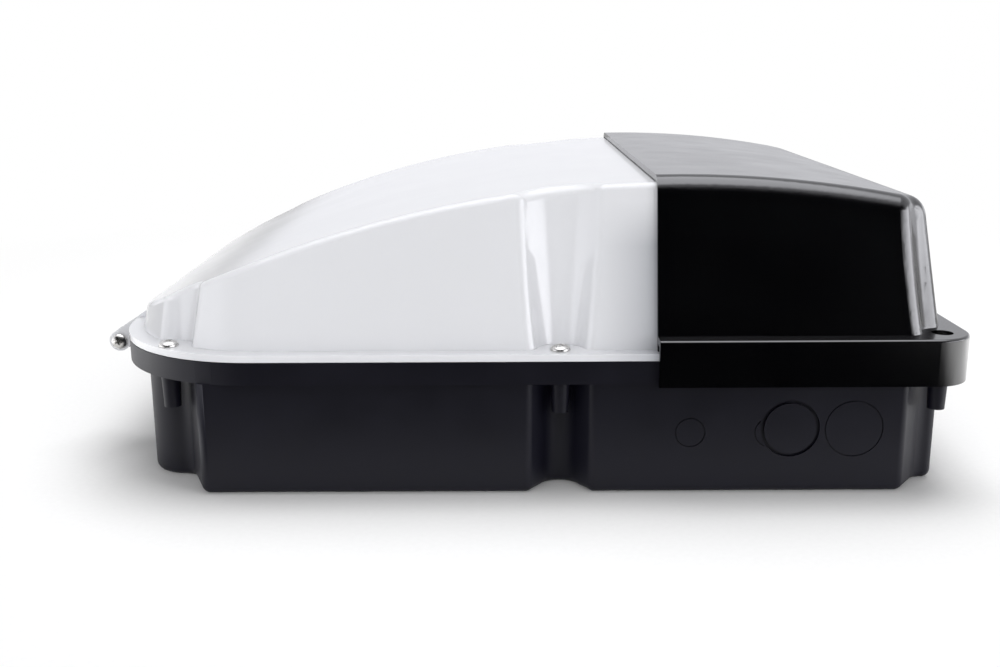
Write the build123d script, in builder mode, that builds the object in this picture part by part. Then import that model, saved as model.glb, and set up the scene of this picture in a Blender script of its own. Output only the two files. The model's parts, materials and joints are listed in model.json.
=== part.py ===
from build123d import *

import os
from math import cos, degrees, hypot, radians, sin, tan

# Wall pack light, in millimetres. The back face that meets the wall is Z = 0 and the light faces +Z.
# The hinge end is at -X and the hood end at +X. The plan is symmetric about Y = 0.

# ---- driving dimensions ----------------------------------------------------------------------

# Rim of the base, which carries the flange of the cover
rim_left = -146.0
rim_right = 155.7
rim_half = 121.0
rim_low = 40.4
rim_top = 48.3
rim_plate = 3.4
rim_lip = 2.5
hinge_corner = 55.0
hood_corner = 12.0

# Body of the base below the rim: its wall bends inwards round each screw boss and out to the bay faces
body_left = -134.5
body_right = 151.5
bay_half = 119.4
bay_edge_round = 3.2
pocket_radius = 6.2
left_flare = radians(23.0)
middle_flare = radians(34.0)
hood_flare = radians(37.0)
floor_thickness = 3.0
wall = 2.8
bottom_round = 3.0

# Seal between rim and cover
seal_left = -136.5
seal_right = 153.5
seal_half = 113.0
seal_corner = 45.5
seal_cut_x = 165.0
seal_cut_y = 121.0
seal_cut_radius = 26.5
seal_inset = 0.8
seal_width = 2.4
seal_depth = 2.0
seal_ledge = 4.8
seal_slack = 0.1
lid_gap = 0.3

# Opal cover: drafted walls under a top that is rolled about an axis along Y
flange_thickness = 2.5
foot_level = rim_top + lid_gap + flange_thickness
foot_left = -142.0
foot_half = 115.4
foot_corner = 55.0
side_draft = 12.7
end_draft = 8.7
end_foot = 149.2
top_axis_x = 57.0
top_axis_z = -313.5
top_radius = 421.0
end_round = 6.0
cover_wall = 2.2
cover_crease = 2.5
scallop_radius = 8.4
scallop_draft = 10.0
scallop_area = 2500.0
cover_arrises = (3.0, 4.0, 3.0)
hood_arrises = (5.5, 5.5, 5.5)
above_dome = 130.0
past_ends = 190.0

# Hood over the upper end of the cover
hood_left = 49.2
hood_right = 158.2
hood_half = 123.5
hood_skirt_corner = 14.0
hood_low = 39.8
hood_ledge = 56.2
hood_wall = 2.2
hood_gap = 0.3
hood_skirt = 2.0
hood_crease = 6.5
hood_edge_round = 1.0
hood_boss = 6.0
hood_web = 1.0

# Screws through the flange of the cover, each with its boss under the rim
left_screws = [(-122.0, -106.4), (-122.0, 106.4)]
middle_screws = [(15.9, -114.7), (15.9, 114.7)]
hood_screws = [(148.3, -112.9), (148.3, 112.9)]
flange_screws = left_screws + middle_screws
cover_screws = flange_screws + hood_screws
cover_head = 3.5
cover_head_height = 2.2
cover_shank = 1.75
cover_screw_length = 12.0
flange_hole = 2.1
ring_seat = 3.0
ring_wire = 0.6
boss_low = 29.0
boss_top_radius = 3.5
boss_low_radius = 2.95
pilot_radius = 1.8
pilot_low = 31.5
lead_in = (2.2, 0.5)
swing_lead_in = (3.4, 2.2)

# Hinge: fins on the cover turn on shoulder screws in the ears of the base
hinge_x = -154.2
hinge_z = 41.6
lug_radius = 4.0
fin_inner = 58.0
fin_thickness = 4.0
fin_root = (-140.9, 55.2)
ear_thickness = 5.0
ear_top = 46.5
shoulder_radius = 2.0
shoulder_clearance = 0.05
hinge_thread = 1.5
hinge_head = 3.0
hinge_head_height = 1.9

# Knock-outs moulded in the bay wall on the -Y side
conduit_z = 23.6
gland_z = 22.4
conduit_radius = 10.25
gland_radius = 5.35
open_ring_x = 95.9
open_ring_width = 1.1
open_ring_depth = 1.2
conduit_ring_x = 118.0
gland_rings_x = (61.0, 88.7)
line_width = 0.45
line_depth = 0.4

# Fixing to the wall and cable entry
fixing_x = 100.0
fixing_y = 80.0
fixing_hole = 2.75
fixing_collar = 6.5
fixing_collar_top = 8.0
entry_x = -70.0
entry_y = 0.0
entry_hole = 7.0
entry_collar = 11.5
entry_recess = 10.0
entry_recess_depth = 1.5
cable_bore = 4.5

# Gear tray with its LED boards
tray_level = 44.0
tray_sheet = 1.0
tray_left = -128.0
tray_right = 142.0
tray_half = 100.0
tray_corner = 36.0
tray_hood_corner = 4.0
tray_fold_end = 136.0
tray_fold = 8.0
tray_posts = [(-115.0, -60.0), (-115.0, 60.0), (130.0, -72.0), (130.0, 72.0)]
post_radius = 4.5
small_pilot = 1.4
tray_pilot_depth = 12.0
pad_pilot_low = 1.5
screw_clearance = 1.7
board_clearance = 1.5
stud_clearance = 2.0
board_length = 240.0
board_width = 18.0
board_thickness = 1.6
board_x = 8.0
board_pitch = 60.0
chip_pitch = 15.0
chips_per_board = 14
chip_size = 3.0
chip_height = 0.8
board_screw_span = 228.0
connector_x = 113.3
lead_hole_y = 26.0
lead_hole = 5.0

# Driver and mains terminals on the floor of the base
driver_x = 10.0
driver_y = 45.0
driver_length = 140.0
driver_width = 46.0
driver_height = 28.0
driver_tab = 12.0
driver_tab_sheet = 2.0
pad_top = 6.0
pad_radius = 5.0
block_x = -20.0
block_y = -50.0
block_length = 36.0
block_width = 22.0
block_height = 16.0
pole_pitch = 12.0
wire_radius = 1.1
earth_x = -40.0
earth_y = -28.0

os.makedirs("parts", exist_ok=True)


def finish(piece, name):
    """Labels a finished piece and writes it."""
    piece.label = name
    export_step(piece, f"parts/{name}.step")


# ---- outlines in plan ------------------------------------------------------------------------


def rounded_plan(left, right, half, left_radius, right_radius=0.0):
    """Plan of the light: wide corners at the hinge end and tight or square ones at the hood end."""
    with BuildSketch() as plan:
        with Locations(((left + right) / 2, 0)):
            Rectangle(right - left, 2 * half)
        fillet(plan.vertices().group_by(Axis.X)[0], left_radius)
        if right_radius > 0:
            fillet(plan.vertices().group_by(Axis.X)[-1], right_radius)
    return plan.sketch


def body_outline(step, edge_round=0.0):
    """Plan of the body moved inwards by step, with a concave pocket round each of the screw bosses."""
    radius = pocket_radius + step
    front = bay_half - step
    low = body_left + step
    high = body_right - step
    left_x, left_y = left_screws[1]
    middle_x, middle_y = middle_screws[1]
    hood_x, hood_y = hood_screws[1]

    def flared_wall(x, y, flare, side):
        """Straight wall that leaves the pocket of a boss and ends at the bay face."""
        touch = (x + side * radius * cos(flare), y - radius * sin(flare))
        mouth = (touch[0] + side * (front - touch[1]) * tan(flare), front)
        return touch, mouth

    left_touch, left_mouth = flared_wall(left_x, left_y, left_flare, 1)
    near_touch, near_mouth = flared_wall(middle_x, middle_y, middle_flare, -1)
    far_touch, far_mouth = flared_wall(middle_x, middle_y, middle_flare, 1)
    hood_touch, hood_mouth = flared_wall(hood_x, hood_y, hood_flare, -1)
    left_corner = (left_x, left_y - radius - (left_x - low))
    hood_corner_centre = (hood_x, hood_y - radius - (high - hood_x))
    left_turn = 90.0 - degrees(left_flare)
    middle_turn = 180.0 - 2 * degrees(middle_flare)
    hood_turn = 90.0 - degrees(hood_flare)
    with BuildSketch() as plan:
        with BuildLine():
            Line((low, 0), (low, left_corner[1]))
            CenterArc(left_corner, left_x - low, 90, 90)
            CenterArc((left_x, left_y), radius, 270, left_turn)
            Polyline(left_touch, left_mouth, near_mouth, near_touch)
            CenterArc((middle_x, middle_y), radius, 180 + degrees(middle_flare), middle_turn)
            Polyline(far_touch, far_mouth, hood_mouth, hood_touch)
            CenterArc((hood_x, hood_y), radius, 180 + degrees(hood_flare), hood_turn)
            CenterArc(hood_corner_centre, high - hood_x, 0, 90)
            Line((high, hood_corner_centre[1]), (high, 0))
            mirror(about=Plane.XZ)
        make_face()
        if edge_round > 0:
            fillet([v for v in plan.vertices() if abs(v.Y) > front - 0.01], edge_round)
    return plan.sketch


def seal_outline(step):
    """Line of the seal moved inwards by step: it keeps clear of the screws at all six places."""
    with BuildSketch() as plan:
        add(rounded_plan(seal_left + step, seal_right - step, seal_half - step, seal_corner - step))
        with Locations((seal_cut_x, seal_cut_y), (seal_cut_x, -seal_cut_y)):
            Circle(seal_cut_radius + step, mode=Mode.SUBTRACT)
    return plan.sketch


rim_plan = rounded_plan(rim_left, rim_right, rim_half, hinge_corner, hood_corner)
lip_plan = rounded_plan(
    rim_left + rim_lip, rim_right - rim_lip, rim_half - rim_lip, hinge_corner - rim_lip, hood_corner - rim_lip
)
body_plan = body_outline(0.0, bay_edge_round)
cavity_plan = body_outline(wall)
opening_plan = seal_outline(seal_ledge)
seal_outer = seal_outline(seal_inset)
seal_inner = seal_outline(seal_inset + seal_width)

# ---- base housing ----------------------------------------------------------------------------

plate_low = rim_top - rim_plate

with BuildPart() as base_housing:
    with BuildSketch():
        add(body_plan)
    extrude(amount=rim_top)
    fillet(base_housing.faces().sort_by(Axis.Z)[0].outer_wire().edges(), bottom_round)
    with BuildSketch(Plane.XY.offset(floor_thickness)):
        add(cavity_plan)
    extrude(amount=rim_top - floor_thickness, mode=Mode.SUBTRACT)

    # Rim: a flat plate with a lip turned down round its edge
    with BuildSketch(Plane.XY.offset(plate_low)):
        add(rim_plan)
        add(opening_plan, mode=Mode.SUBTRACT)
    extrude(amount=rim_plate)
    with BuildSketch(Plane.XY.offset(rim_low)):
        add(rim_plan)
        add(lip_plan, mode=Mode.SUBTRACT)
    extrude(amount=plate_low - rim_low)

    # Screw bosses hang from the rim outside the wall
    for x, y in cover_screws:
        with Locations((x, y, boss_low)):
            Cone(
                boss_low_radius,
                boss_top_radius,
                plate_low - boss_low,
                align=(Align.CENTER, Align.CENTER, Align.MIN),
            )

    # Groove for the seal
    with BuildSketch(Plane.XY.offset(rim_top - seal_depth)):
        add(seal_outer)
        add(seal_inner, mode=Mode.SUBTRACT)
    extrude(amount=seal_depth, mode=Mode.SUBTRACT)

    # Pilot holes, with a wide lead-in at the hinge end where the screws swing out
    for x, y in cover_screws:
        with Locations((x, y, pilot_low)):
            Cylinder(
                pilot_radius,
                rim_top - pilot_low,
                align=(Align.CENTER, Align.CENTER, Align.MIN),
                mode=Mode.SUBTRACT,
            )
        lead_radius, lead_depth = swing_lead_in if x < 0 else lead_in
        with Locations((x, y, rim_top - lead_depth)):
            Cone(
                pilot_radius,
                lead_radius,
                lead_depth,
                align=(Align.CENTER, Align.CENTER, Align.MIN),
                mode=Mode.SUBTRACT,
            )

    # Hinge ears stand out of the rim at the hinge end
    for side in (-1, 1):
        ear_face = fin_inner - lid_gap
        with BuildSketch(Plane.XZ.offset(-side * (ear_face - ear_thickness))):
            with Locations((hinge_x, hinge_z)):
                Circle(lug_radius)
            with Locations((rim_left + 0.5, (rim_low + ear_top) / 2)):
                Rectangle(1.0, ear_top - rim_low)
            make_hull()
            with Locations((hinge_x, hinge_z)):
                Circle(hinge_thread, mode=Mode.SUBTRACT)
        extrude(amount=-side * ear_thickness)

    # Posts for the tray, pads for the driver and the terminal block
    with Locations(*[(x, y, floor_thickness) for x, y in tray_posts]):
        Cylinder(post_radius, tray_level - floor_thickness, align=(Align.CENTER, Align.CENTER, Align.MIN))
    block_fixing_x = block_x + pole_pitch / 2
    driver_pads = [
        (driver_x - driver_length / 2 - driver_tab / 2, driver_y),
        (driver_x + driver_length / 2 + driver_tab / 2, driver_y),
    ]
    with Locations(*[(x, y, floor_thickness) for x, y in driver_pads]):
        Cylinder(pad_radius, pad_top - floor_thickness, align=(Align.CENTER, Align.CENTER, Align.MIN))
    with Locations((block_x, block_y, floor_thickness)):
        Box(block_length, block_width, pad_top - floor_thickness, align=(Align.CENTER, Align.CENTER, Align.MIN))
    with Locations(*[(x, y, tray_level) for x, y in tray_posts]):
        Cylinder(
            small_pilot,
            tray_pilot_depth,
            align=(Align.CENTER, Align.CENTER, Align.MAX),
            mode=Mode.SUBTRACT,
        )
    with Locations(*[(x, y, pad_pilot_low) for x, y in driver_pads + [(block_fixing_x, block_y)]]):
        Cylinder(
            small_pilot,
            pad_top - pad_pilot_low,
            align=(Align.CENTER, Align.CENTER, Align.MIN),
            mode=Mode.SUBTRACT,
        )

    # Wall fixings in raised collars
    with Locations((0, 0, floor_thickness)):
        with GridLocations(2 * fixing_x, 2 * fixing_y, 2, 2):
            Cylinder(
                fixing_collar,
                fixing_collar_top - floor_thickness,
                align=(Align.CENTER, Align.CENTER, Align.MIN),
            )
    with GridLocations(2 * fixing_x, 2 * fixing_y, 2, 2):
        Cylinder(
            fixing_hole,
            fixing_collar_top,
            align=(Align.CENTER, Align.CENTER, Align.MIN),
            mode=Mode.SUBTRACT,
        )

    # Rear cable entry: a thickened floor, hollowed behind for the lip of the grommet
    with Locations((entry_x, entry_y, floor_thickness)):
        Cylinder(entry_collar, entry_recess_depth, align=(Align.CENTER, Align.CENTER, Align.MIN))
    with Locations((entry_x, entry_y, 0)):
        Cylinder(
            entry_recess,
            entry_recess_depth,
            align=(Align.CENTER, Align.CENTER, Align.MIN),
            mode=Mode.SUBTRACT,
        )
        Cylinder(entry_hole, 10, align=(Align.CENTER, Align.CENTER, Align.MIN), mode=Mode.SUBTRACT)

    # Knock-outs: a wide groove round the conduit entry in use and thin lines round the others
    with BuildSketch(Plane.XZ.offset(bay_half)):
        with Locations((open_ring_x, conduit_z)):
            Circle(conduit_radius)
            Circle(conduit_radius - open_ring_width, mode=Mode.SUBTRACT)
    extrude(amount=-open_ring_depth, mode=Mode.SUBTRACT)
    thin_rings = [(conduit_ring_x, conduit_z, conduit_radius)]
    thin_rings += [(x, gland_z, gland_radius) for x in gland_rings_x]
    for x, z, radius in thin_rings:
        with BuildSketch(Plane.XZ.offset(bay_half)):
            with Locations((x, z)):
                Circle(radius)
                Circle(radius - line_width, mode=Mode.SUBTRACT)
            with Locations((open_ring_x, conduit_z)):
                Circle(conduit_radius + line_width, mode=Mode.SUBTRACT)
        extrude(amount=-line_depth, mode=Mode.SUBTRACT)

finish(base_housing.part, "base_housing")

# ---- seal ------------------------------------------------------------------------------------

with BuildPart() as housing_gasket:
    with BuildSketch(Plane.XY.offset(rim_top - seal_depth)):
        add(seal_outline(seal_inset + seal_slack))
        add(seal_outline(seal_inset + seal_width - seal_slack), mode=Mode.SUBTRACT)
    extrude(amount=seal_depth + lid_gap)
finish(housing_gasket.part, "housing_gasket")

# ---- cover and hood share one domed form -----------------------------------------------------


def scallop_edges(form, x, y):
    """The edges round the scallop that rises at a screw, without those along the foot of the walls."""
    edges = []
    for face in form.faces().filter_by(GeomType.CONE):
        middle = face.center()
        near = hypot(middle.X - x, middle.Y - y) < 2.5 * scallop_radius
        if near and face.area < scallop_area:
            edges += [e for e in face.edges() if e.center().Z > foot_level + 1]
    return edges


def domed_form(grow, crease, arrises):
    """Domed form of the cover, grown outwards by grow, with a scallop at each screw. The roundings of the
    scallops are given in turn for the hinge end, the middle and the hood end."""
    side_grow = grow / cos(radians(side_draft))
    end_grow = grow / cos(radians(end_draft))
    rise = above_dome - foot_level
    foot_plan = rounded_plan(foot_left - side_grow, past_ends, foot_half + side_grow, foot_corner + grow)
    with BuildPart() as form:
        with BuildSketch(Plane.XY.offset(foot_level)):
            add(foot_plan)
        extrude(amount=rise, taper=side_draft)
        with BuildSketch(Plane.XZ) as profile:
            with Locations((top_axis_x, top_axis_z)):
                Circle(top_radius + grow)
            with BuildLine():
                Polyline(
                    (-past_ends, foot_level),
                    (end_foot + end_grow, foot_level),
                    (end_foot + end_grow - rise * tan(radians(end_draft)), above_dome),
                    (-past_ends, above_dome),
                    close=True,
                )
            make_face(mode=Mode.INTERSECT)
            fillet(profile.vertices().sort_by(Axis.Y)[-1], end_round + grow)
        extrude(amount=past_ends, both=True, mode=Mode.INTERSECT)
        if crease > 0:
            rolled_top = form.faces().filter_by(GeomType.CYLINDER).sort_by(SortBy.AREA)[-1]
            fillet([e for e in rolled_top.edges() if e.length > hood_half], crease)
        low_radius = scallop_radius - grow
        for x, y in cover_screws:
            with Locations((x, y, foot_level)):
                Cone(
                    low_radius,
                    low_radius + rise * tan(radians(scallop_draft)),
                    rise,
                    align=(Align.CENTER, Align.CENTER, Align.MIN),
                    mode=Mode.SUBTRACT,
                )
        for screws, arris in zip((left_screws, middle_screws, hood_screws), arrises):
            for x, y in screws:
                fillet(scallop_edges(form, x, y), arris)
    return form.part


outer_form = domed_form(0.0, cover_crease, cover_arrises)
inner_form = domed_form(-cover_wall, 0.0, ())
hood_inner_form = domed_form(hood_gap, cover_crease + hood_gap, cover_arrises)
hood_outer_form = domed_form(hood_gap + hood_wall, hood_crease, hood_arrises)

# ---- opal cover ------------------------------------------------------------------------------

flange_low = rim_top + lid_gap

with BuildPart() as diffuser:
    with BuildSketch(Plane.XY.offset(flange_low)):
        add(rim_plan)
    extrude(amount=flange_thickness)
    add(outer_form)
    inner_foot = inner_form.faces().sort_by(Axis.Z)[0]
    extrude(inner_foot, amount=flange_thickness, dir=(0, 0, -1), mode=Mode.SUBTRACT)
    add(inner_form, mode=Mode.SUBTRACT)

    # Fins at the hinge end reach down past the rim to the pivots
    for side in (-1, 1):
        with BuildSketch(Plane.XZ.offset(-side * fin_inner)):
            with Locations((hinge_x, hinge_z)):
                Circle(lug_radius)
            with BuildLine():
                Polyline(
                    (rim_left, flange_low),
                    (fin_root[0], flange_low),
                    fin_root,
                    close=True,
                )
            make_face()
            make_hull()
            with Locations(((rim_left - 0.4 + rim_right) / 2, flange_low - 15)):
                Rectangle(rim_right - rim_left + 0.4, 30, mode=Mode.SUBTRACT)
            with Locations((hinge_x, hinge_z)):
                Circle(shoulder_radius + shoulder_clearance, mode=Mode.SUBTRACT)
        extrude(amount=-side * fin_thickness)

    # Screw holes, counterbored for the sealing rings
    for x, y in cover_screws:
        with Locations((x, y, foot_level)):
            CounterBoreHole(flange_hole, ring_seat, 2 * ring_wire, flange_thickness)

finish(diffuser.part, "diffuser")

# ---- hood ------------------------------------------------------------------------------------

skirt_inner_half = hood_half - hood_skirt
skirt_inner_right = hood_right - hood_skirt
beyond = 60.0
skirt_plan = rounded_plan(
    hood_left - beyond, hood_right, hood_half, hood_skirt_corner, hood_skirt_corner
)
skirt_inner_plan = rounded_plan(
    hood_left - beyond,
    skirt_inner_right,
    skirt_inner_half,
    hood_skirt_corner - hood_skirt,
    hood_skirt_corner - hood_skirt,
)
ledge_low = hood_ledge - 2.5

with BuildPart() as hood:
    with BuildSketch(Plane.XY.offset(hood_low)):
        add(skirt_plan)
    extrude(amount=hood_ledge - hood_low)
    fillet(hood.faces().sort_by(Axis.Z)[-1].outer_wire().edges(), hood_edge_round)
    with BuildSketch(Plane.XY.offset(hood_low)):
        add(skirt_inner_plan)
    extrude(amount=ledge_low - hood_low, mode=Mode.SUBTRACT)
    add(hood_outer_form)
    add(hood_inner_form, mode=Mode.SUBTRACT)
    split(bisect_by=Plane.YZ.offset(hood_left), keep=Keep.TOP)

    # Sunk seats take the heads of the two screws that hold the hood down
    with Locations(*[(x, y, foot_level) for x, y in hood_screws]):
        Cylinder(hood_boss, hood_ledge - foot_level, align=(Align.CENTER, Align.CENTER, Align.MIN))
    for x, y in hood_screws:
        with Locations((x, y, hood_ledge)):
            CounterBoreHole(flange_hole, cover_head + 0.2, hood_ledge - foot_level - hood_web, 10)

finish(hood.part, "hood")

# ---- fasteners -------------------------------------------------------------------------------


def screw_solid(head, head_height, shank, length):
    """A pan head screw standing on Z = 0 with its shank along -Z and a cross recess."""
    recess = head * 0.62
    with BuildPart() as screw:
        Cylinder(head, head_height, align=(Align.CENTER, Align.CENTER, Align.MIN))
        fillet(screw.edges().sort_by(Axis.Z)[-1], head_height * 0.7)
        with Locations((0, 0, head_height)):
            Box(2 * recess, head * 0.24, head_height * 1.1, mode=Mode.SUBTRACT)
            Box(head * 0.24, 2 * recess, head_height * 1.1, mode=Mode.SUBTRACT)
        Cylinder(shank, length, align=(Align.CENTER, Align.CENTER, Align.MAX))
        chamfer(screw.edges().sort_by(Axis.Z)[0], shank * 0.4)
    return screw.part


def place_all(solid, places):
    """Copies of a solid at several locations, as separate solids of one node."""
    return Compound(children=[solid.moved(place) for place in places])


cover_screw = screw_solid(cover_head, cover_head_height, cover_shank, cover_screw_length)
cover_screw_places = [Location((x, y, foot_level)) for x, y in flange_screws]
cover_screw_places += [Location((x, y, foot_level + hood_web)) for x, y in hood_screws]
finish(place_all(cover_screw, cover_screw_places), "diffuser_screws")

with BuildPart() as sealing_ring:
    with BuildSketch(Plane.XZ):
        with Locations((cover_shank + ring_wire, 0)):
            Circle(ring_wire)
    revolve(axis=Axis.Z)
ring_places = [Location((x, y, foot_level - ring_wire)) for x, y in cover_screws]
finish(place_all(sealing_ring.part, ring_places), "screw_sealing_rings")

# Hinge screws stand on the ears by their shoulders, and the fins turn between head and ear
ear_outer = fin_inner - lid_gap
shoulder_length = fin_thickness + 2 * lid_gap
with BuildPart() as hinge_screw:
    add(screw_solid(hinge_head, hinge_head_height, shoulder_radius, shoulder_length))
    with Locations((0, 0, -shoulder_length)):
        Cylinder(hinge_thread, ear_thickness - 0.5, align=(Align.CENTER, Align.CENTER, Align.MAX))
hinge_screw_places = [
    Location((hinge_x, -ear_outer - shoulder_length, hinge_z), (90, 0, 0)),
    Location((hinge_x, ear_outer + shoulder_length, hinge_z), (-90, 0, 0)),
]
finish(place_all(hinge_screw.part, hinge_screw_places), "hinge_screws")

# ---- gear tray and LED boards ----------------------------------------------------------------

tray_plan = rounded_plan(tray_left, tray_right, tray_half, tray_corner, tray_hood_corner)
tray_top = tray_level + tray_sheet
board_rows = (-board_pitch, 0.0, board_pitch)
board_screw_xy = [(board_x + s * board_screw_span / 2, y) for y in board_rows for s in (-1, 1)]

with BuildPart() as gear_tray:
    with BuildSketch(Plane.XY.offset(tray_level)):
        add(tray_plan)
        with Locations(*tray_posts):
            Circle(screw_clearance, mode=Mode.SUBTRACT)
        with Locations(*board_screw_xy):
            Circle(board_clearance, mode=Mode.SUBTRACT)
        with Locations((connector_x, lead_hole_y)):
            Circle(lead_hole, mode=Mode.SUBTRACT)
        with Locations((earth_x, earth_y)):
            Circle(stud_clearance, mode=Mode.SUBTRACT)
    extrude(amount=tray_sheet)
    # Long edges are folded down to stiffen the sheet
    fold_left = tray_left + tray_corner
    for side in (-1, 1):
        with Locations(((fold_left + tray_fold_end) / 2, side * (tray_half - tray_sheet / 2), tray_level)):
            Box(
                tray_fold_end - fold_left,
                tray_sheet,
                tray_fold,
                align=(Align.CENTER, Align.CENTER, Align.MAX),
            )
finish(gear_tray.part, "gear_tray")

tray_screw = screw_solid(3.0, 1.9, small_pilot, 10.0)
finish(place_all(tray_screw, [Location((x, y, tray_top)) for x, y in tray_posts]), "tray_screws")

for name, y in zip(("led_board_lower", "led_board_centre", "led_board_upper"), board_rows):
    with BuildPart() as board:
        with BuildSketch(Plane.XY.offset(tray_top)):
            with Locations((board_x, y)):
                RectangleRounded(board_length, board_width, 2.0)
                with GridLocations(board_screw_span, 1, 2, 1):
                    Circle(board_clearance, mode=Mode.SUBTRACT)
        extrude(amount=board_thickness)
    finish(board.part, name)

board_top = tray_top + board_thickness
with BuildPart() as chip:
    Box(chip_size, chip_size, chip_height, align=(Align.CENTER, Align.CENTER, Align.MIN))
chip_places = [
    Location((board_x + (n - (chips_per_board - 1) / 2) * chip_pitch, y, board_top))
    for y in board_rows
    for n in range(chips_per_board)
]
finish(place_all(chip.part, chip_places), "led_chips")

board_screw = screw_solid(2.4, 1.6, 1.4, 6.0)
finish(place_all(board_screw, [Location((x, y, board_top)) for x, y in board_screw_xy]), "board_screws")

with BuildPart() as led_connector:
    with Locations((connector_x, 0, board_top)):
        Box(9, 11, 4.5, align=(Align.CENTER, Align.CENTER, Align.MIN))
finish(led_connector.part, "led_connector")

# ---- driver ----------------------------------------------------------------------------------

with BuildPart() as led_driver:
    with Locations((driver_x, driver_y, pad_top)):
        Box(driver_length, driver_width, driver_height, align=(Align.CENTER, Align.CENTER, Align.MIN))
    fillet(led_driver.edges().filter_by(Axis.Z), 3.0)
    chamfer(led_driver.faces().sort_by(Axis.Z)[-1].edges(), 1.0)
    with Locations((driver_x, driver_y, pad_top)):
        Box(
            driver_length + 2 * driver_tab,
            2 * pad_radius,
            driver_tab_sheet,
            align=(Align.CENTER, Align.CENTER, Align.MIN),
        )
    with Locations(*[(x, y, pad_top) for x, y in driver_pads]):
        Cylinder(screw_clearance, 3 * driver_tab_sheet, mode=Mode.SUBTRACT)
finish(led_driver.part, "led_driver")

driver_screw = screw_solid(2.9, 1.8, small_pilot, 6.0)
driver_screw_places = [Location((x, y, pad_top + driver_tab_sheet)) for x, y in driver_pads]
finish(place_all(driver_screw, driver_screw_places), "driver_screws")

# ---- mains terminals and earth ---------------------------------------------------------------

poles = [block_x + n * pole_pitch for n in (-1, 0, 1)]
wire_level = pad_top + 5.5
block_top = pad_top + block_height
with BuildPart() as terminal_block:
    with Locations((block_x, block_y, pad_top)):
        Box(block_length, block_width, block_height, align=(Align.CENTER, Align.CENTER, Align.MIN))
    chamfer(terminal_block.faces().sort_by(Axis.Z)[-1].edges().filter_by(Axis.X), 1.5)
    # Wire mouths on both sides of each pole and screw wells above
    for x in poles:
        with BuildSketch(Plane.XZ.offset(-block_y - block_width / 2)):
            with Locations((x, wire_level)):
                Circle(2.2)
        extrude(amount=7.0, mode=Mode.SUBTRACT)
        with BuildSketch(Plane.XZ.offset(-block_y + block_width / 2)):
            with Locations((x, wire_level)):
                Circle(2.2)
        extrude(amount=-7.0, mode=Mode.SUBTRACT)
        for side in (-1, 1):
            with Locations((x, block_y + side * 5.5, block_top - 5.0)):
                Cylinder(2.1, 5.0, align=(Align.CENTER, Align.CENTER, Align.MIN), mode=Mode.SUBTRACT)
    # Fixing screw between two poles
    with Locations((block_fixing_x, block_y, block_top)):
        CounterBoreHole(1.7, 3.0, 9.0)
finish(terminal_block.part, "terminal_block")

with BuildPart() as terminal_screw:
    Cylinder(2.0, 3.0, align=(Align.CENTER, Align.CENTER, Align.MIN))
    with Locations((0, 0, 3.0)):
        Box(5.0, 0.7, 1.6, mode=Mode.SUBTRACT)
well_floor = block_top - 5.0
screw_places = [Location((x, block_y + side * 5.5, well_floor)) for x in poles for side in (-1, 1)]
finish(place_all(terminal_screw.part, screw_places), "terminal_screws")

fixing_seat = block_top - 3.0
block_screw = screw_solid(2.6, 1.8, small_pilot, 16.0)
finish(block_screw.moved(Location((block_fixing_x, block_y, fixing_seat))), "terminal_fixing_screw")

# Earth stud through the tray, with a ring terminal and nut below it
ring_sheet = 0.8
nut_height = 2.4
earth_screw = screw_solid(3.6, 2.2, 1.95, tray_sheet + ring_sheet + nut_height + 1.5)
finish(earth_screw.moved(Location((earth_x, earth_y, tray_top))), "earth_screw")

barrel_left = earth_x + 4.0
barrel_right = earth_x + 12.0
with BuildPart() as earth_ring:
    with BuildSketch(Plane.XY.offset(tray_level - ring_sheet)):
        with Locations((earth_x, earth_y)):
            Circle(4.0)
        with Locations(((earth_x + barrel_left + 2) / 2, earth_y)):
            Rectangle(barrel_left + 2 - earth_x, 3.0)
        with Locations((earth_x, earth_y)):
            Circle(2.0, mode=Mode.SUBTRACT)
    extrude(amount=ring_sheet)
    with BuildSketch(Plane.YZ.offset(barrel_left + 0.5)):
        with Locations((earth_y, tray_level - 1.9)):
            Circle(1.7)
    extrude(amount=barrel_right - barrel_left - 0.5)
finish(earth_ring.part, "earth_ring_terminal")

with BuildPart() as earth_nut:
    with BuildSketch(Plane.XY.offset(tray_level - ring_sheet - nut_height)):
        with Locations((earth_x, earth_y)):
            RegularPolygon(3.5, 6, major_radius=False)
            Circle(1.95, mode=Mode.SUBTRACT)
    extrude(amount=nut_height)
finish(earth_nut.part, "earth_nut")

# ---- grommets --------------------------------------------------------------------------------


def grommet(sheet_low, sheet_high, neck, lip, lip_low, lip_high, bore):
    """Turned profile of a rubber grommet that grips a sheet between two lips."""
    with BuildPart() as ring:
        with BuildSketch(Plane.XZ):
            with BuildLine():
                Polyline(
                    (bore, lip_low),
                    (lip, lip_low),
                    (lip, sheet_low),
                    (neck, sheet_low),
                    (neck, sheet_high),
                    (lip, sheet_high),
                    (lip - 1.0, lip_high),
                    (bore, lip_high),
                    close=True,
                )
            make_face()
        revolve(axis=Axis.Z)
    return ring.part


entry_sheet = (entry_recess_depth, floor_thickness + entry_recess_depth)
cable_grommet = grommet(*entry_sheet, entry_hole, 9.5, 0.2, entry_sheet[1] + 2.0, cable_bore)
finish(cable_grommet.moved(Location((entry_x, entry_y, 0))), "cable_grommet")

tray_grommet = grommet(tray_level, tray_top, lead_hole, 6.5, tray_level - 1.2, tray_top + 1.2, 3.8)
finish(tray_grommet.moved(Location((connector_x, lead_hole_y, 0))), "tray_grommet")

# ---- internal leads --------------------------------------------------------------------------


def lead(points, bend):
    """One insulated lead: straight runs joined by tangent arcs."""
    with BuildPart() as wire:
        with BuildLine() as route:
            FilletPolyline(*points, radius=bend)
        with BuildSketch(Plane(origin=route.line @ 0, z_dir=route.line % 0)):
            Circle(wire_radius)
        sweep()
    return wire.part


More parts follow.
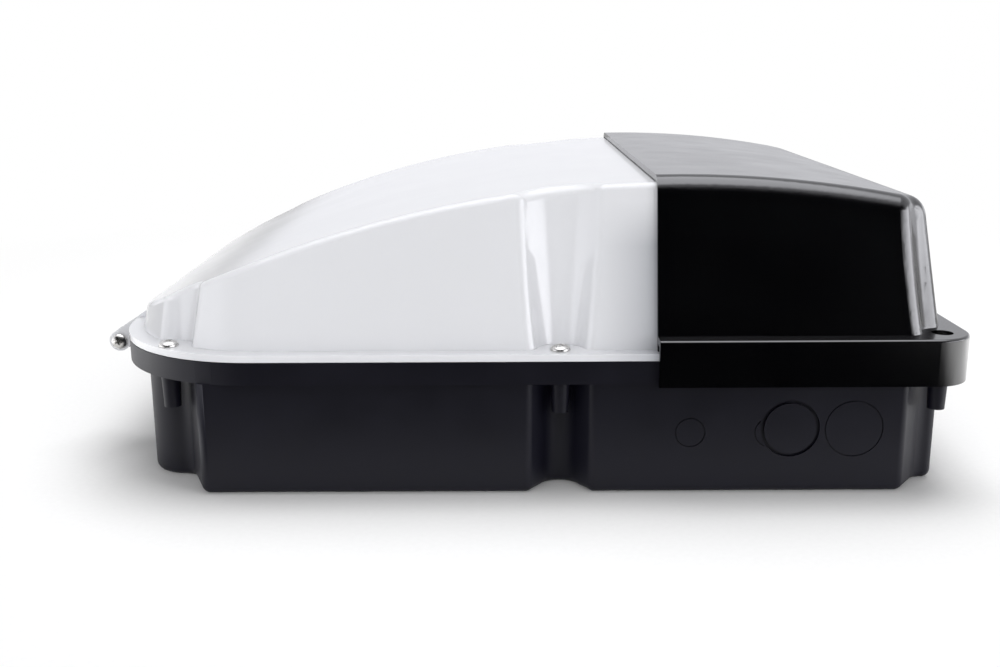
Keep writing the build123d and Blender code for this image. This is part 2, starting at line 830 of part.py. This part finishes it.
driver_left = driver_x - driver_length / 2
driver_right = driver_x + driver_length / 2
block_mouth = block_y + block_width / 2 - 6.5
lead_level = 20.0
live_route = [
    (driver_left, 34.0, lead_level),
    (driver_left - 16, 34.0, lead_level),
    (driver_left - 8, -14.0, 15.0),
    (poles[0], -22.0, wire_level),
    (poles[0], block_mouth, wire_level),
]
neutral_route = [
    (driver_left, 39.0, lead_level),
    (driver_left - 24, 39.0, lead_level),
    (driver_left - 10, -4.0, 19.0),
    (poles[1], -14.0, 14.0),
    (poles[1], -26.0, wire_level),
    (poles[1], block_mouth, wire_level),
]
finish(lead(live_route, 6.0), "live_lead")
finish(lead(neutral_route, 5.0), "neutral_lead")

earth_route = [
    (barrel_right, earth_y, tray_level - 1.9),
    (poles[2] - 1.0, earth_y, tray_level - 1.9),
    (poles[2], -20.0, 26.0),
    (poles[2], -25.0, wire_level),
    (poles[2], block_mouth, wire_level),
]
finish(lead(earth_route, 4.0), "earth_lead")

lead_rise = board_top + 2.3
led_routes = [
    [
        (driver_right, driver_y - 4.0 + 8.0 * n, lead_level),
        (driver_right + 16, driver_y - 4.0 + 8.0 * n, lead_level),
        (connector_x + (2 * n - 1) * 1.8, lead_hole_y, 26.0),
        (connector_x + (2 * n - 1) * 1.8, lead_hole_y, lead_rise),
        (connector_x + (2 * n - 1) * 1.8, 5.5, lead_rise),
    ]
    for n in (0, 1)
]
finish(Compound(children=[lead(route, 4.0) for route in led_routes]), "led_leads")
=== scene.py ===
"""Looks of the wall pack light: its finishes, fine screws and LED packages, and a white studio."""
import json
import math

import bmesh
import bpy
from mathutils import Matrix, Vector


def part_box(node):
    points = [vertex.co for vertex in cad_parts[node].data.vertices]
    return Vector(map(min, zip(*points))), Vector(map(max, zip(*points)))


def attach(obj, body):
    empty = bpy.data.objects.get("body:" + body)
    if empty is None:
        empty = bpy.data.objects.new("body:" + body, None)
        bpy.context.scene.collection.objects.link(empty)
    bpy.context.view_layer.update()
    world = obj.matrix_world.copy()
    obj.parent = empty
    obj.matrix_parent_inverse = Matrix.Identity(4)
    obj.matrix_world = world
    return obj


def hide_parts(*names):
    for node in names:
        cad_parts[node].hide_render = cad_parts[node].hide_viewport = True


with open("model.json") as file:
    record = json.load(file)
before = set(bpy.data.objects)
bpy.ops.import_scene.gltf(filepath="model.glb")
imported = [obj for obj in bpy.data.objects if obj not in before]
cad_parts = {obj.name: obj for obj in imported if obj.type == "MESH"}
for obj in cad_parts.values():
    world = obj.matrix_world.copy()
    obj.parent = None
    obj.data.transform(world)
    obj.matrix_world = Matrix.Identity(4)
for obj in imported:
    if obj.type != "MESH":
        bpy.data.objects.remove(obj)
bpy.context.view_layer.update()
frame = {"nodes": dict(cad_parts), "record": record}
mm = 0.001

# Camera, solved from the photograph: metres, degrees, and pixels of its 1000 x 667 picture
photo_width_px = 1000
focal_px = 1150
camera_place = (-0.005, -0.4995, 0.1529)
camera_tilt = 13.99
camera_roll = -0.25
sensor_width = 36.0
clip_start = 0.01

# Light on matt surfaces: a plain fill, stronger from the front, and one soft lamp above
fill_level = 0.3
front_fill = {"level": 2.25, "Y": (-0.2, -0.7), "Z": (0.7, 0.3)}
top_lamp = {"radiance": 4.9, "size": (0.9, 0.9), "place": (0.12, 0.2, 1.2), "aim": (0.0, 0.0, 0.05)}

# The room that gloss shows: windows laid over its pale back in this order. Each has a level and, for the
# axes of a ray's direction, the values at which it starts and is full
room_tint = (0.95, 0.955, 1.0)
room_back = 0.95
room_windows = {
    "dark_front": {"level": 0.0, "Y": (-0.25, -0.6), "Z": (0.8, 0.5)},
    "left": {"level": 2.0, "X": (-0.55, -0.8), "Z": (0.36, 0.14)},
    "low_right": {"level": 2.0, "X": (0.5, 0.72), "Z": (0.24, 0.08)},
    "front_right": {"level": 5.6, "X": (0.5, 0.72), "Y": (0.25, 0.05), "Z": (0.36, 0.14)},
    "overhead": {"level": 3.8, "Z": (0.78, 0.92)},
}

# Floor: matt paper that turns plain white for the camera, dark in gloss past its front edge, and glowing in
# gloss in a strip at each side. Each pair of metres from the object's middle is where that starts and is full
floor_size = 8.0
floor_drop = 0.05 * mm
paper_tones = (0.93, 0.93, 0.935), (0.95, 0.95, 0.955)
paper_grain = 2 * mm
plain_white = (0.3, 0.6)
front_edge = (-0.155, -0.185)
glow_strips = {
    "left": {"strength": 4.5, "across": (-0.26, -0.36)},
    "right": {"strength": 2.6, "across": (0.24, 0.34)},
}
glow_along = (0.12, 0.02)
glow_reach = (0.65, 0.5)

# Shade on the opal wall: its reach beside the hood, and where it starts and is full below the hood's top
shade_reach = 26 * mm
shade_start = 9 * mm
shade_full = 24 * mm
shade_power = 1.5
shade_colour = (0.58, 0.59, 0.61)

# Fine screws: radii of head, shank and thread, heights from the seat, and the seat's depth below the top of
# the plain screw. The turn of the recesses is the first one's and each further one's step on the cover
cover_screw = {
    "head": 3.5 * mm, "height": 1.95 * mm, "shank": 1.7 * mm, "shank_end": -3 * mm,
    "thread": 1.75 * mm, "pitch": 1.25 * mm, "seat": 2.2 * mm,
}
hinge_screw = {
    "head": 3.0 * mm, "height": 1.9 * mm, "shank": 2.0 * mm, "shank_end": -4.6 * mm,
    "thread": 1.5 * mm, "pitch": 0.7 * mm, "seat": 1.9 * mm,
}
cover_recess_degrees = (52, 37)
hinge_recess_radians = 0.3

# Round corner of the rim at the hinge end, on the +Y side, and the bay's corner that stands out of it
rim_corner = (-91 * mm, 66 * mm)
rim_corner_radius = 55.03 * mm
trim_degrees = [100 + 0.5 * n for n in range(31)]
trim_outside = 125 * mm
trim_low, trim_high = 40.4 * mm, 50 * mm


def feed(tree, socket, value):
    """Links a node's output to a socket, or sets the socket to a number or an opaque colour."""
    if isinstance(value, bpy.types.NodeSocket):
        tree.links.new(value, socket)
    else:
        socket.default_value = (*value, 1.0) if isinstance(value, (tuple, list)) else value


def axes(tree, vector):
    """The X, Y and Z of a vector."""
    node = tree.nodes.new("ShaderNodeSeparateXYZ")
    tree.links.new(vector, node.inputs["Vector"])
    return {axis: node.outputs[axis] for axis in "XYZ"}


def ramp(tree, value, start, end, kind="LINEAR"):
    """Runs from 0 where a value is start to 1 where it is end, and stays level beyond them."""
    node = tree.nodes.new("ShaderNodeMapRange")
    node.interpolation_type = kind
    node.inputs["From Min"].default_value = start
    node.inputs["From Max"].default_value = end
    tree.links.new(value, node.inputs["Value"])
    return node.outputs["Result"]


def product(tree, first, *others):
    """Multiplies values."""
    for other in others:
        node = tree.nodes.new("ShaderNodeMath")
        node.operation = "MULTIPLY"
        tree.links.new(first, node.inputs[0])
        tree.links.new(other, node.inputs[1])
        first = node.outputs["Value"]
    return first


def mix(tree, factor, first, second, kind="RGBA", blend="MIX"):
    """Mixes two colours, or two numbers, by a factor."""
    node = tree.nodes.new("ShaderNodeMix")
    node.data_type = kind
    node.blend_type = blend
    tree.links.new(factor, node.inputs["Factor"])
    feed(tree, node.inputs["A"], first)
    feed(tree, node.inputs["B"], second)
    return node.outputs["Result"]


def mix_shaders(tree, factor, first, second):
    """Mixes two shaders by a factor."""
    node = tree.nodes.new("ShaderNodeMixShader")
    tree.links.new(factor, node.inputs["Fac"])
    tree.links.new(first, node.inputs[1])
    tree.links.new(second, node.inputs[2])
    return node.outputs["Shader"]


def background(tree, strength, colour=(1.0, 1.0, 1.0)):
    """Light from beyond the scene."""
    node = tree.nodes.new("ShaderNodeBackground")
    feed(tree, node.inputs["Color"], colour)
    feed(tree, node.inputs["Strength"], strength)
    return node.outputs["Background"]


def noise(tree, place, period, detail=2.0):
    """A noise texture whose period is a length in metres."""
    node = tree.nodes.new("ShaderNodeTexNoise")
    node.inputs["Scale"].default_value = 1.0 / period
    node.inputs["Detail"].default_value = detail
    tree.links.new(place, node.inputs["Vector"])
    return node.outputs["Fac"]


def spread(tree, grain, low=0.0, high=1.0):
    """Spreads the middle of a noise's values over a range."""
    node = tree.nodes.new("ShaderNodeMapRange")
    for socket, number in (("From Min", 0.3), ("From Max", 0.7), ("To Min", low), ("To Max", high)):
        node.inputs[socket].default_value = number
    tree.links.new(grain, node.inputs["Value"])
    return node.outputs["Result"]


def new_material(name):
    """An empty node material, its tree and its output."""
    material = bpy.data.materials.new(name)
    material.use_nodes = True
    tree = material.node_tree
    tree.nodes.clear()
    output = tree.nodes.new("ShaderNodeOutputMaterial")
    return material, tree, output


def finish_material(
    name, colour, roughness, metallic=0.0, specular=0.5, tone=0.05, tone_period=20 * mm,
    rough_spread=0.04, grain_period=0.5 * mm, grain_depth=0.01 * mm, subsurface=0.0,
    scatter=2.0 * mm, shade=None,
):
    """A moulded, coated or metal surface with its tone, its roughness and its grain varied by noise."""
    material, tree, output = new_material(name)
    shader = tree.nodes.new("ShaderNodeBsdfPrincipled")
    shader.inputs["Metallic"].default_value = metallic
    shader.inputs["IOR"].default_value = 1.5
    shader.inputs["Specular IOR Level"].default_value = specular
    if subsurface:
        shader.inputs["Subsurface Weight"].default_value = subsurface
        shader.inputs["Subsurface Radius"].default_value = (1.0, 1.0, 1.0)
        shader.inputs["Subsurface Scale"].default_value = scatter
    place = tree.nodes.new("ShaderNodeTexCoord").outputs["Object"]
    broad = noise(tree, place, tone_period, detail=3.0)
    darker = tuple(c * (1 - tone) for c in colour)
    lighter = tuple(min(1.0, c * (1 + tone)) for c in colour)
    base = mix(tree, spread(tree, broad), darker, lighter)
    if shade:
        base = shade(tree, place, base)
    tree.links.new(base, shader.inputs["Base Color"])
    rough = spread(tree, broad, roughness - rough_spread, roughness + rough_spread)
    tree.links.new(rough, shader.inputs["Roughness"])
    bump = tree.nodes.new("ShaderNodeBump")
    bump.inputs["Strength"].default_value = 1.0
    bump.inputs["Distance"].default_value = grain_depth
    tree.links.new(noise(tree, place, grain_period), bump.inputs["Height"])
    tree.links.new(bump.outputs["Normal"], shader.inputs["Normal"])
    tree.links.new(shader.outputs["BSDF"], output.inputs["Surface"])
    return material


def shade_beside_hood(tree, place, base):
    """Darkens the opal wall towards the hood, under which no light gets into the cover."""
    axis = axes(tree, place)
    hood_low, hood_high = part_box("hood")
    beside = ramp(tree, axis["X"], hood_low[0] - shade_reach, hood_low[0])
    below = ramp(tree, axis["Z"], hood_high[2] - shade_start, hood_high[2] - shade_full)
    steep = tree.nodes.new("ShaderNodeMath")
    steep.operation = "POWER"
    steep.inputs[1].default_value = shade_power
    tree.links.new(beside, steep.inputs[0])
    factor = product(tree, steep.outputs["Value"], below)
    return mix(tree, factor, base, shade_colour, blend="MULTIPLY")


finishes = {
    "base_black": {
        "colour": (0.003, 0.0028, 0.0085), "roughness": 0.46, "specular": 0.35, "tone": 0.12,
        "grain_depth": 0.012 * mm,
    },
    "hood_black": {
        "colour": (0.0009, 0.0009, 0.0014), "roughness": 0.17, "specular": 0.95, "tone": 0.1,
        "rough_spread": 0.02, "grain_depth": 0.003 * mm,
    },
    "opal_polycarbonate": {
        "colour": (0.685, 0.69, 0.715), "roughness": 0.1, "tone": 0.008, "tone_period": 60 * mm,
        "rough_spread": 0.02, "grain_period": 6 * mm, "grain_depth": 0.006 * mm, "subsurface": 0.25,
        "shade": shade_beside_hood,
    },
    "seal_grey": {"colour": (0.12, 0.12, 0.125), "roughness": 0.7, "grain_period": 0.3 * mm},
    "stainless_steel": {
        "colour": (0.6, 0.59, 0.57), "roughness": 0.27, "metallic": 1.0, "tone": 0.1,
        "tone_period": 1.5 * mm, "rough_spread": 0.07, "grain_period": 0.25 * mm,
        "grain_depth": 0.003 * mm,
    },
    "zinc_steel": {
        "colour": (0.58, 0.6, 0.61), "roughness": 0.32, "metallic": 1.0, "tone": 0.12,
        "tone_period": 2 * mm, "rough_spread": 0.08,
    },
    "black_rubber": {"colour": (0.015, 0.015, 0.016), "roughness": 0.72, "grain_period": 0.4 * mm},
    "white_sheet": {
        "colour": (0.66, 0.66, 0.65), "roughness": 0.38, "tone": 0.015, "grain_period": 1.4 * mm,
        "grain_depth": 0.02 * mm,
    },
    "board_white": {
        "colour": (0.56, 0.575, 0.56), "roughness": 0.34, "tone": 0.02, "grain_period": 3 * mm,
        "grain_depth": 0.01 * mm,
    },
    "led_yellow": {
        "colour": (0.8, 0.5, 0.05), "roughness": 0.35, "tone": 0.06, "tone_period": 1.0 * mm,
        "grain_period": 0.1 * mm,
    },
    "driver_white": {"colour": (0.68, 0.68, 0.67), "roughness": 0.5, "tone": 0.02},
    "terminal_white": {"colour": (0.72, 0.71, 0.66), "roughness": 0.4, "tone": 0.03},
    "brass": {
        "colour": (0.74, 0.53, 0.22), "roughness": 0.28, "metallic": 1.0, "tone": 0.12,
        "tone_period": 2 * mm, "rough_spread": 0.08,
    },
    "lead_brown": {"colour": (0.1, 0.032, 0.012), "roughness": 0.38},
    "lead_blue": {"colour": (0.01, 0.05, 0.35), "roughness": 0.38},
    "lead_green_yellow": {"colour": (0.12, 0.36, 0.04), "roughness": 0.38},
    "lead_red": {"colour": (0.42, 0.012, 0.01), "roughness": 0.38},
}
materials = {name: finish_material(name, **finish) for name, finish in finishes.items()}

for part in frame["record"]["subparts"]:
    mesh = frame["nodes"][part["node"]].data
    mesh.materials.clear()
    mesh.materials.append(materials[part["material_slot"]])


def islands(node):
    """The box of each separate solid of a node, as (lowest corner, highest corner), in order."""
    mesh = frame["nodes"][node].data
    grid = 0.001 * mm
    keys = [tuple(round(c / grid) for c in v.co) for v in mesh.vertices]
    parent = {k: k for k in keys}

    def root(key):
        while parent[key] != key:
            parent[key] = parent[parent[key]]
            key = parent[key]
        return key

    for edge in mesh.edges:
        a, b = (root(keys[i]) for i in edge.vertices)
        parent[a] = b
    groups = {}
    for vertex, key in zip(mesh.vertices, keys):
        groups.setdefault(root(key), []).append(vertex.co)
    boxes = []
    for points in groups.values():
        low = Vector(min(p[i] for p in points) for i in range(3))
        high = Vector(max(p[i] for p in points) for i in range(3))
        boxes.append((low, high))
    return sorted(boxes, key=lambda box: tuple(box[0]))


def dress(obj, slot, smooth=35):
    """Gives an object its finish, and smooth shading but for edges sharper than that many degrees."""
    obj.data.materials.clear()
    obj.data.materials.append(materials[slot])
    obj.data.shade_smooth()
    obj.data.set_sharp_from_angle(angle=math.radians(smooth))


def solid(name, points, faces, slot):
    """A mesh object in the scene with its finish."""
    mesh = bpy.data.meshes.new(name)
    mesh.from_pydata([tuple(p) for p in points], [], faces)
    obj = bpy.data.objects.new(name, mesh)
    dress(obj, slot)
    bpy.context.scene.collection.objects.link(obj)
    return obj


def turned(name, rows, slot, segments=48):
    """A solid turned about Z, from the top down. A row is (radius or function of the angle, height)."""
    points = [(0, 0, rows[0][1])]
    for radius, height in rows:
        for n in range(segments):
            angle = 2 * math.pi * n / segments
            r = radius(angle) if callable(radius) else radius
            points.append((r * math.cos(angle), r * math.sin(angle), height))
    points.append((0, 0, rows[-1][1]))
    last = len(points) - 1
    faces = []
    for n in range(segments):
        after = (n + 1) % segments
        faces.append((0, 1 + n, 1 + after))
        faces.append((last, last - segments + after, last - segments + n))
        for row in range(len(rows) - 1):
            a, b = 1 + row * segments, 1 + (row + 1) * segments
            faces.append((a + n, b + n, b + after, a + after))
    return solid(name, points, faces, slot)


def prism(name, outline, low, high, low_scale=1.0):
    """A prism over an outline of (x, y), scaled at its low end, in a stand-in finish."""
    count = len(outline)
    points = [(x * low_scale, y * low_scale, low) for x, y in outline]
    points += [(x, y, high) for x, y in outline]
    faces = [tuple(reversed(range(count))), tuple(range(count, 2 * count))]
    faces += [(n, (n + 1) % count, count + (n + 1) % count, count + n) for n in range(count)]
    return solid(name, points, faces, "base_black")


def subtract(obj, name, cutter):
    """Adds a modifier that cuts the cutter's shape out of an object."""
    cut = obj.modifiers.new(name, "BOOLEAN")
    cut.operation = "DIFFERENCE"
    cut.solver = "EXACT"
    cut.object = cutter


def carve(obj, cutter):
    """Cuts one object's shape out of another for good; the cutter goes."""
    subtract(obj, "cut", cutter)
    bpy.context.view_layer.update()
    graph = bpy.context.evaluated_depsgraph_get()
    shape = bpy.data.meshes.new_from_object(obj.evaluated_get(graph))
    obj.modifiers.clear()
    obj.data = shape
    bpy.data.objects.remove(cutter)


def copies(name, source, places, slot):
    """One object made of copies of a source at several places; the source goes."""
    shape = bmesh.new()
    for place in places:
        part = bmesh.new()
        part.from_mesh(source.data)
        part.transform(place)
        moved = bpy.data.meshes.new("moved")
        part.to_mesh(moved)
        shape.from_mesh(moved)
        part.free()
        bpy.data.meshes.remove(moved)
    mesh = bpy.data.meshes.new(name)
    shape.to_mesh(mesh)
    shape.free()
    obj = bpy.data.objects.new(name, mesh)
    dress(obj, slot)
    bpy.context.scene.collection.objects.link(obj)
    bpy.data.objects.remove(source)
    return obj


def thread_rows(radius, depth, pitch, top, bottom, steps=10, flank=3.2):
    """Rows of a screw thread between two heights, running out into the core at both ends."""
    count = round((top - bottom) / pitch * steps)
    rows = []
    for n in range(count + 1):
        height = top + (bottom - top) * n / count
        ends = min(1.0, (top - height) / pitch, (height - bottom) / pitch)

        def around(angle, height=height, ends=ends):
            turn = (height / pitch - angle / (2 * math.pi)) % 1.0
            return radius - depth + depth * ends * max(0.0, 1 - abs(turn - 0.5) * flank)

        rows.append((around, height))
    return rows


def cross(reach, half, end_share=0.8):
    """The outline of a cross recess with four tapered arms."""
    arm = [(half, -half), (reach, -half * end_share), (reach, half * end_share)]
    outline = []
    for n in range(4):
        turn = Matrix.Rotation(math.pi / 2 * n, 2)
        outline += [tuple(turn @ Vector(p)) for p in arm]
    return outline


def pan_head_screw(name, size, tip):
    """A screw with its seat at Z = 0: domed head with a cross recess, plain shank, and thread to the tip."""
    head, height, thread = size["head"], size["height"], size["thread"]
    dome_rows, dome_foot, dome_power = 16, 0.16, 2.6
    rows = []
    for n in range(1, dome_rows + 1):
        share = math.sin(math.pi / 2 * n / dome_rows)
        dome = (1 - share ** dome_power) ** 0.5
        rows.append((head * share, height * (dome_foot + (1 - dome_foot) * dome)))
    head_edge, head_foot = (head, height * 0.1), (head * 0.96, 0)
    rows += [head_edge, head_foot, (size["shank"], 0), (size["shank"], size["shank_end"])]

    chamfer, lead_in, run_out = 0.3 * mm, 0.1 * mm, 0.7 * mm
    depth, point = thread * 0.22, thread * 0.45
    start = size["shank_end"] - chamfer
    rows += [(thread - depth, start)]
    rows += thread_rows(thread, depth, size["pitch"], start - lead_in, tip + run_out)
    rows += [(point, tip)]
    screw = turned(name, rows, "stainless_steel")

    recess_floor, recess_top, recess_draft = height * 0.25, height * 1.3, 0.35
    outline = cross(reach=head * 0.56, half=head * 0.115)
    carve(screw, prism("recess", outline, recess_floor, recess_top, recess_draft))
    return screw


def make_cover_screws():
    """Six captive screws on the cover, in place of the plain ones."""
    seat = cover_screw["seat"]
    first, step = cover_recess_degrees
    places = []
    for n, (low, high) in enumerate(islands("diffuser_screws")):
        middle = (low + high) / 2
        spot = Matrix.Translation((middle.x, middle.y, high.z - seat))
        places.append(spot @ Matrix.Rotation(math.radians(first + step * n), 4, "Z"))
    source = pan_head_screw("cover_screw", cover_screw, tip=low.z - high.z + seat)
    screws = copies("captive_screws", source, places, "stainless_steel")
    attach(screws, "cover")
    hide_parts("diffuser_screws")


def make_hinge_screws():
    """Two shoulder screws at the hinge with their heads outwards, in place of the plain ones."""
    seat = hinge_screw["seat"]
    places = []
    for low, high in islands("hinge_screws"):
        middle = (low + high) / 2
        outward = -1 if middle.y < 0 else 1
        seat_y = (low.y + seat) if outward < 0 else (high.y - seat)
        spot = Matrix.Translation((middle.x, seat_y, middle.z))
        lie = Matrix.Rotation(-outward * math.pi / 2, 4, "X")
        places.append(spot @ lie @ Matrix.Rotation(hinge_recess_radians, 4, "Z"))
    source = pan_head_screw("hinge_screw", hinge_screw, tip=low.y - high.y + seat)
    screws = copies("shoulder_screws", source, places, "stainless_steel")
    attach(screws, "housing")
    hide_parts("hinge_screws")


def make_chips():
    """White LED packages, each with a round window of phosphor, in place of the plain chips."""
    boxes = islands("led_chips")
    low, high = boxes[0]
    half = (high.x - low.x) / 2
    height = high.z - low.z
    corner = half * 0.86
    outline = [(corner, -half), (half, -corner), (half, corner), (corner, half)]
    outline += [(-x, -y) for x, y in outline]
    package = prism("package", outline, 0, height)

    sides, radius = 24, half * 0.74
    angles = [2 * math.pi * n / sides for n in range(sides)]
    window = [(radius * math.cos(a), radius * math.sin(a)) for a in angles]
    window_floor, window_top, window_draft = height * 0.55, height * 1.5, 0.85
    carve(package, prism("window", window, window_floor, window_top, window_draft))
    phosphor_low, phosphor_high, phosphor_draft = height * 0.5, height * 0.88, 0.9
    phosphor = prism("phosphor", window, phosphor_low, phosphor_high, phosphor_draft)

    places = []
    for low, high in boxes:
        middle = (low + high) / 2
        places.append(Matrix.Translation((middle.x, middle.y, low.z)))
    sources = (("led_packages", package, "board_white"), ("led_phosphor", phosphor, "led_yellow"))
    for name, source, slot in sources:
        obj = copies(name, source, places, slot)
        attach(obj, "housing")
        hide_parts("led_chips")


def trim_bay_corners():
    """Cuts the bay corners at the hinge end flush with the round corners of the rim."""
    (centre_x, centre_y), radius = rim_corner, rim_corner_radius
    angles = [math.radians(degrees) for degrees in trim_degrees]
    arc = [(centre_x + radius * math.cos(a), centre_y + radius * math.sin(a)) for a in angles]
    outline = arc + [(arc[-1][0], trim_outside), (arc[0][0], trim_outside)]
    for side in (1, -1):
        cutter = prism("bay_cutter", [(x, side * y) for x, y in outline], trim_low, trim_high)
        if side > 0:  # here the outline runs clockwise
            cutter.data.flip_normals()
        cutter.hide_render = True
        cutter.hide_viewport = True
        subtract(frame["nodes"]["base_housing"], "trim", cutter)


def make_world():
    """What rays meet beyond the scene: the fill, the room in gloss, and white behind and through things."""
    world = bpy.data.worlds.new("studio")
    bpy.context.scene.world = world
    world.use_nodes = True
    tree = world.node_tree
    tree.nodes.clear()
    output = tree.nodes.new("ShaderNodeOutputWorld")
    path = tree.nodes.new("ShaderNodeLightPath").outputs
    direction = axes(tree, tree.nodes.new("ShaderNodeTexCoord").outputs["Generated"])

    def laid_over(below, window):
        """Lays a window's level over the levels below it."""
        used = [axis for axis in "XYZ" if axis in window]
        edges = [ramp(tree, direction[axis], *window[axis], "SMOOTHSTEP") for axis in used]
        return mix(tree, product(tree, *edges), below, window["level"], "FLOAT")

    room = room_back
    for window in room_windows.values():
        room = laid_over(room, window)
    fill = background(tree, laid_over(fill_level, front_fill))
    seen = mix_shaders(tree, path["Is Glossy Ray"], fill, background(tree, room, room_tint))
    for ray in ("Is Transmission Ray", "Is Camera Ray"):
        seen = mix_shaders(tree, path[ray], seen, background(tree, 1.0))
    tree.links.new(seen, output.inputs["Surface"])
    world.cycles.sampling_method = "NONE"


def make_lamp():
    """One soft lamp above, which gloss doesn't show."""
    data = bpy.data.lights.new("top_lamp", "AREA")
    data.shape = "RECTANGLE"
    data.size, data.size_y = top_lamp["size"]
    data.energy = top_lamp["radiance"] * math.pi * data.size * data.size_y
    light = bpy.data.objects.new("top_lamp", data)
    light.location = top_lamp["place"]
    towards = Vector(top_lamp["aim"]) - Vector(top_lamp["place"])
    light.rotation_euler = towards.to_track_quat("-Z", "Y").to_euler()
    light.visible_glossy = False
    bpy.context.scene.collection.objects.link(light)


def floor_material():
    """Matt white paper that keeps the shadow, with the white, the edge and the strips set out above."""
    material, tree, output = new_material("floor_white")
    place = tree.nodes.new("ShaderNodeTexCoord").outputs["Object"]
    axis = axes(tree, place)
    length = tree.nodes.new("ShaderNodeVectorMath")
    length.operation = "LENGTH"
    tree.links.new(place, length.inputs[0])
    radius = length.outputs["Value"]
    path = tree.nodes.new("ShaderNodeLightPath").outputs
    in_camera, in_gloss = path["Is Camera Ray"], path["Is Glossy Ray"]
    diffuse = tree.nodes.new("ShaderNodeBsdfDiffuse")
    paper = mix(tree, spread(tree, noise(tree, place, paper_grain)), *paper_tones)
    tree.links.new(paper, diffuse.inputs["Color"])

    def glowing(surface, where, strength):
        """Makes a surface give light of a strength where a factor is 1."""
        glow = tree.nodes.new("ShaderNodeEmission")
        glow.inputs["Strength"].default_value = strength
        return mix_shaders(tree, where, surface, glow.outputs["Emission"])

    far = product(tree, ramp(tree, radius, *plain_white), in_camera)
    surface = glowing(diffuse.outputs["BSDF"], far, 1.0)
    beyond = product(tree, ramp(tree, axis["Y"], *front_edge), in_gloss)
    surface = glowing(surface, beyond, 0.0)
    near = product(tree, ramp(tree, axis["Y"], *glow_along), in_gloss, ramp(tree, radius, *glow_reach))
    for strip in glow_strips.values():
        beside = product(tree, ramp(tree, axis["X"], *strip["across"]), near)
        surface = glowing(surface, beside, strip["strength"])
    tree.links.new(surface, output.inputs["Surface"])
    return material


def make_floor():
    """The pale floor that the object lies on."""
    mesh = bpy.data.meshes.new("floor")
    half = floor_size / 2
    corners = [(-half, -half, 0), (half, -half, 0), (half, half, 0), (-half, half, 0)]
    mesh.from_pydata(corners, [], [(0, 1, 2, 3)])
    mesh.materials.append(floor_material())
    floor = bpy.data.objects.new("floor", mesh)
    floor.location.z = -floor_drop
    bpy.context.scene.collection.objects.link(floor)


def make_camera():
    """The photograph's view: along +Y, tilted down, with a slight roll."""
    data = bpy.data.cameras.new("camera")
    data.sensor_width = sensor_width
    data.lens = sensor_width * focal_px / photo_width_px
    data.clip_start = clip_start
    camera = bpy.data.objects.new("camera", data)
    tilt = Matrix.Rotation(math.radians(90 - camera_tilt), 4, "X")
    roll = Matrix.Rotation(math.radians(camera_roll), 4, "Z")
    camera.matrix_world = Matrix.Translation(camera_place) @ tilt @ roll
    bpy.context.scene.collection.objects.link(camera)
    bpy.context.scene.camera = camera


make_cover_screws()
make_hinge_screws()
make_chips()
trim_bay_corners()
make_world()
make_lamp()
make_floor()
make_camera()
bpy.context.scene.view_settings.view_transform = "Standard"
